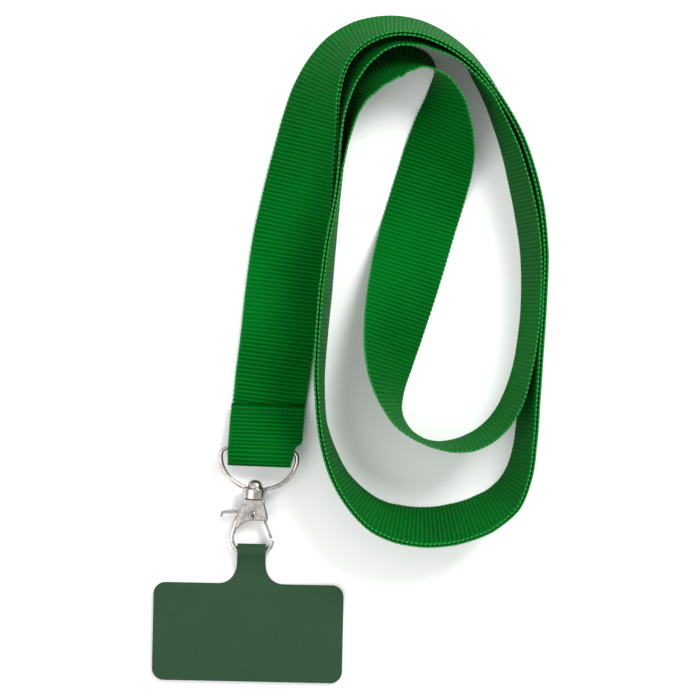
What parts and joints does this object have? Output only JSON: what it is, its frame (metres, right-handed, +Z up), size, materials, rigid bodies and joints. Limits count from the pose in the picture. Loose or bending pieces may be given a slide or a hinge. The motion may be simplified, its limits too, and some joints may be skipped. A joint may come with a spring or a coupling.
{
  "type": "lanyard",
  "caption": "Neck lanyard of woven ribbon, laid in loops, with a D-ring, a swivelling trigger clasp and a flat tether patch hung on the clasp by a folded tab.",
  "frame": {"origin": "on the table, under the middle of the laid-out lanyard", "axes": "+Z up from the table, +Y from the patch towards the top of the ribbon's loops, +X to the right seen from above"},
  "size_m": [0.1352, 0.2284, 0.0253],
  "materials": {
    "ribbon": "ribbed grosgrain",
    "thread": "matte thread",
    "metal": "satin nickel",
    "spring": "plain wire",
    "patch": "fine matte grain"
  },
  "bodies": {
    "ribbon": {"neck_ribbon": "ribbon", "flap_seam_thread": "thread"},
    "d_ring": {"d_ring": "metal"},
    "claw": {"claw_body": "metal", "swivel_rivet": "metal", "gate_pivot": "metal", "gate_spring": "spring"},
    "gate": {"gate_lever": "metal"},
    "patch": {"tether_patch": "patch"}
  },
  "joints": [
    {"name": "d_ring_swing", "type": "hinge", "parent": "ribbon", "child": "d_ring", "pos_m": [-0.03083, -0.03417, 0.0063], "axis": [0.9982, -0.0593, 0], "range_deg": [-90, 90]},
    {"name": "claw_swivel", "type": "hinge", "parent": "d_ring", "child": "claw", "pos_m": [-0.03241, -0.04901, 0.00462], "axis": [0.0589, 0.9919, 0.1122], "continuous": true},
    {"name": "gate_hinge", "type": "hinge", "parent": "claw", "child": "gate", "pos_m": [-0.03315, -0.05643, 0.00378], "axis": [0.0067, 0.112, -0.9937], "range_deg": [0, 16], "stiffness_Nm_per_rad": 0.02, "springref_deg": -17.19},
    {"name": "patch_swing", "type": "hinge", "parent": "claw", "child": "patch", "pos_m": [-0.0336, -0.06904, 0.00235], "axis": [0.9982, -0.0593, 0], "range_deg": [-85, 85]}
  ]
}
